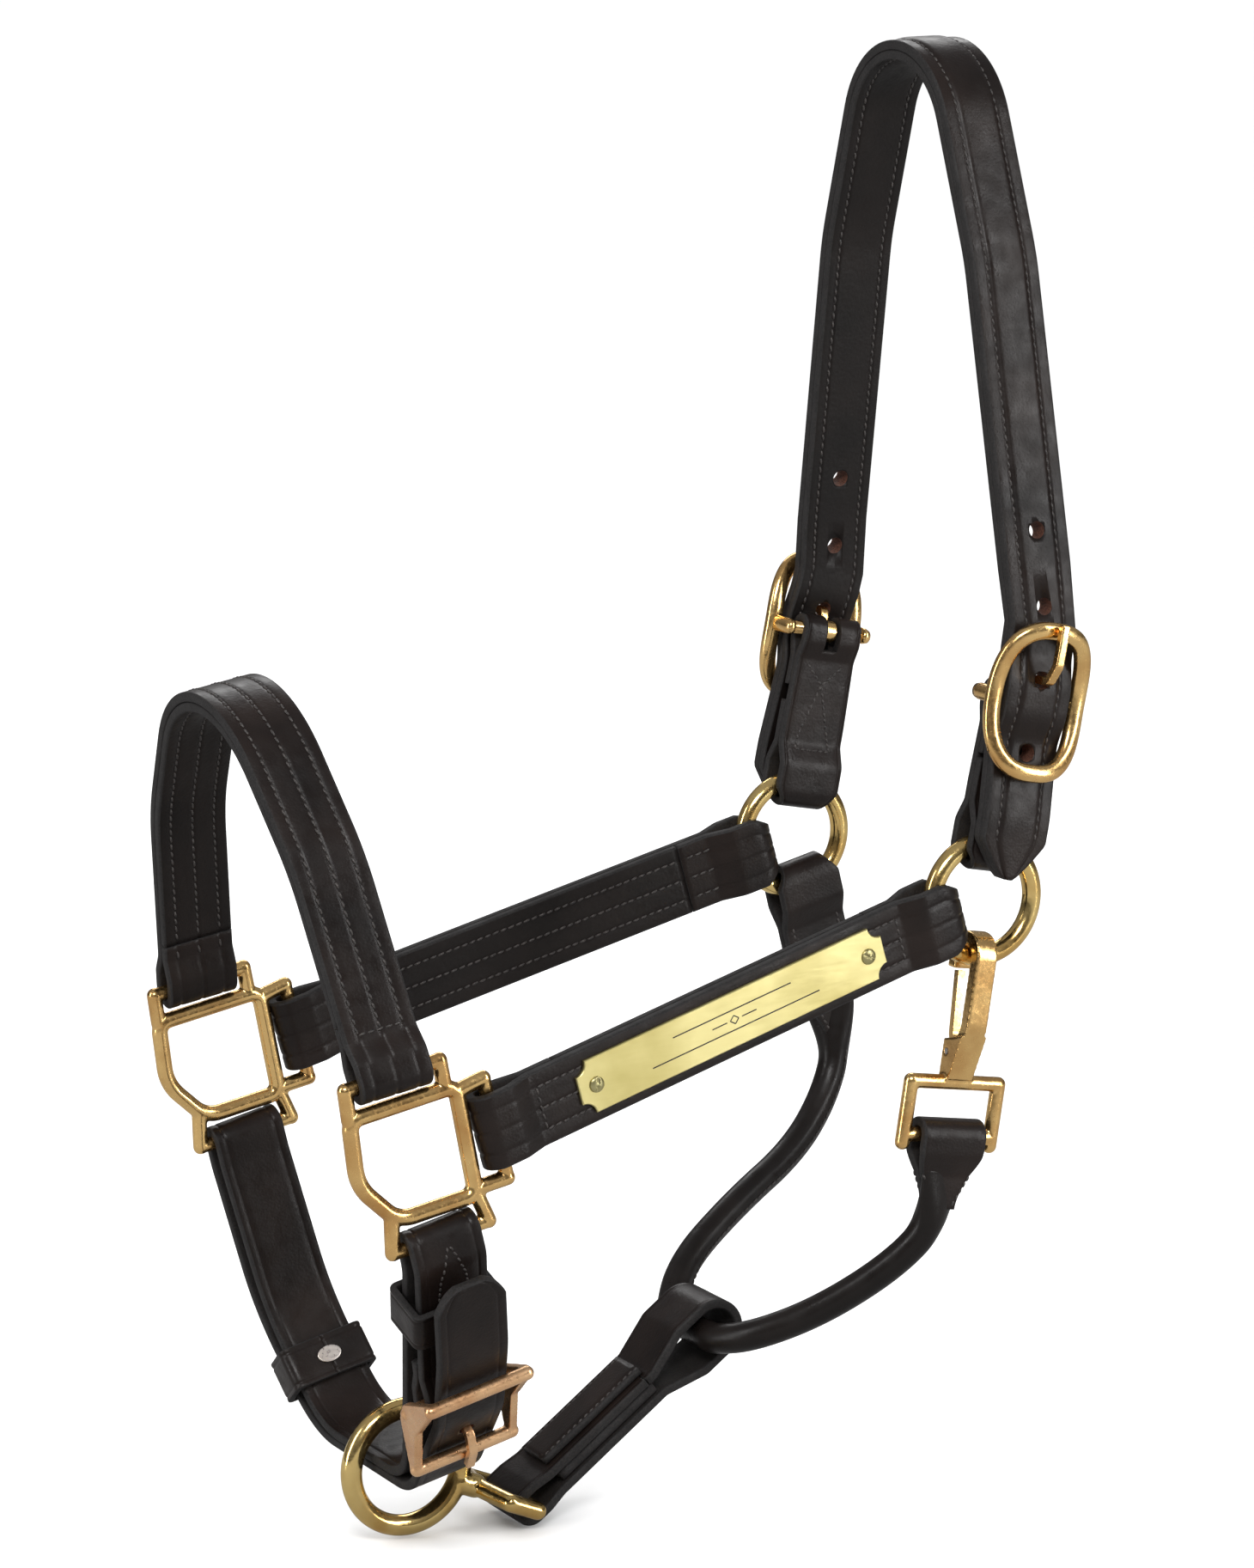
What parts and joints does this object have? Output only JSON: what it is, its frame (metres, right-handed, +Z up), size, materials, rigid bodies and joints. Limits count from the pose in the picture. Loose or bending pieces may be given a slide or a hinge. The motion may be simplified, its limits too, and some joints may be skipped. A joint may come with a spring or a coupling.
{
  "type": "leather headcollar",
  "caption": "Horse headcollar of dark doubled and stitched leather straps with brass rings, squares and buckles, a rolled throat latch with a snap, and a blank nameplate.",
  "frame": {"origin": "midway between the centres of the two upper cheek rings, on the line the crown swings about; the horse's head holds it there", "axes": "+Z up towards the poll, +X from the nose back towards the poll, +Y towards the horse's off (right) side, -Y its near side with nameplate and snap"},
  "size_m": [0.2967, 0.1817, 0.5014],
  "materials": {
    "leather": "waxed bridle leather, grained, satin",
    "lining": "softer lining leather, satin",
    "rolled_leather": "rolled and stitched leather, satin",
    "brass": "polished cast brass",
    "plate": "brushed sheet brass",
    "screws": "domed brass screw heads",
    "staple": "plated oval staple",
    "steel": "spring steel",
    "core": "cotton cord core"
  },
  "bodies": {
    "head": {"near_cheek_strap": "leather", "near_cheek_lining": "lining", "far_cheek_strap": "leather", "far_cheek_lining": "lining", "near_halter_square": "brass", "far_halter_square": "brass", "noseband_strap": "leather", "noseband_lining": "lining", "chin_strap": "leather", "chin_buckle_frame": "brass", "near_chin_keeper": "leather", "nameplate": "plate", "nameplate_screws": "screws"},
    "crown": {"crown_strap": "leather", "crown_lining": "lining", "near_crown_chape": "leather", "far_crown_chape": "leather", "near_crown_buckle_frame": "brass", "far_crown_buckle_frame": "brass"},
    "near_crown_tongue": {"near_crown_buckle_tongue": "brass"},
    "far_crown_tongue": {"far_crown_buckle_tongue": "brass"},
    "near_ring": {"near_upper_ring": "brass"},
    "far_ring": {"far_upper_ring": "brass"},
    "chin_tongue": {"chin_buckle_tongue": "brass"},
    "far_keeper": {"far_chin_keeper": "leather", "far_chin_keeper_staple": "staple"},
    "throat_ring": {"throat_ring": "brass"},
    "jaw": {"jaw_strap": "leather", "jaw_strap_core": "leather", "jaw_top_strip": "leather"},
    "throat_latch": {"throat_latch_roll": "rolled_leather", "throat_latch_core": "core", "near_throat_latch_tab": "leather", "far_throat_latch_tab": "leather", "snap_body": "brass", "snap_gate_pin": "steel", "snap_gate_spring": "steel"},
    "gate": {"snap_gate": "brass"}
  },
  "joints": [
    {"name": "crown_swing", "type": "hinge", "parent": "head", "child": "crown", "pos_m": [0, 0, 0], "axis": [0, 1, 0], "range_deg": [-35, 60]},
    {"name": "near_ring_spin", "type": "hinge", "parent": "head", "child": "near_ring", "pos_m": [0, -0.065, 0], "axis": [0, 1, 0], "continuous": true},
    {"name": "far_ring_spin", "type": "hinge", "parent": "head", "child": "far_ring", "pos_m": [0, 0.065, 0], "axis": [0, 1, 0], "continuous": true},
    {"name": "near_crown_tongue_lift", "type": "hinge", "parent": "crown", "child": "near_crown_tongue", "pos_m": [0.01336, -0.065, 0.06871], "axis": [0.9816, 0, -0.1908], "range_deg": [0, 3]},
    {"name": "far_crown_tongue_lift", "type": "hinge", "parent": "crown", "child": "far_crown_tongue", "pos_m": [0.01412, 0.065, 0.07264], "axis": [-0.9816, 0, 0.1908], "range_deg": [0, 3]},
    {"name": "chin_tongue_lift", "type": "hinge", "parent": "head", "child": "chin_tongue", "pos_m": [-0.19687, -0.059, -0.14753], "axis": [-0.9724, 0, -0.2334], "range_deg": [0, 3]},
    {"name": "far_keeper_slide", "type": "slide", "parent": "head", "child": "far_keeper", "axis": [-0.191, 0.5749, 0.7956], "range_m": [-0.0015, 0.0015]},
    {"name": "throat_latch_swing", "type": "hinge", "parent": "head", "child": "throat_latch", "pos_m": [0, 0, 0], "axis": [0, 1, 0], "range_deg": [-2, 6]},
    {"name": "throat_ring_swing", "type": "hinge", "parent": "head", "child": "throat_ring", "pos_m": [-0.18655, 0, -0.19051], "axis": [0, 1, 0], "range_deg": [-2.9, 8.6]},
    {"name": "jaw_strap_swing", "type": "hinge", "parent": "throat_ring", "child": "jaw", "pos_m": [-0.14513, 0, -0.20809], "axis": [0, 1, 0], "range_deg": [-22, 7.6]},
    {"name": "snap_gate_hinge", "type": "hinge", "parent": "throat_latch", "child": "gate", "pos_m": [-0.00829, -0.0644, -0.05235], "axis": [-0.9877, 0, 0.1564], "range_deg": [0, 22], "stiffness_Nm_per_rad": 0.05, "springref_deg": -11.46}
  ],
  "couplings": [
    {"joint": "throat_ring_swing", "follows": "throat_latch_swing", "ratio": 1.3756},
    {"joint": "jaw_strap_swing", "follows": "throat_latch_swing", "ratio": -3.56}
  ]
}
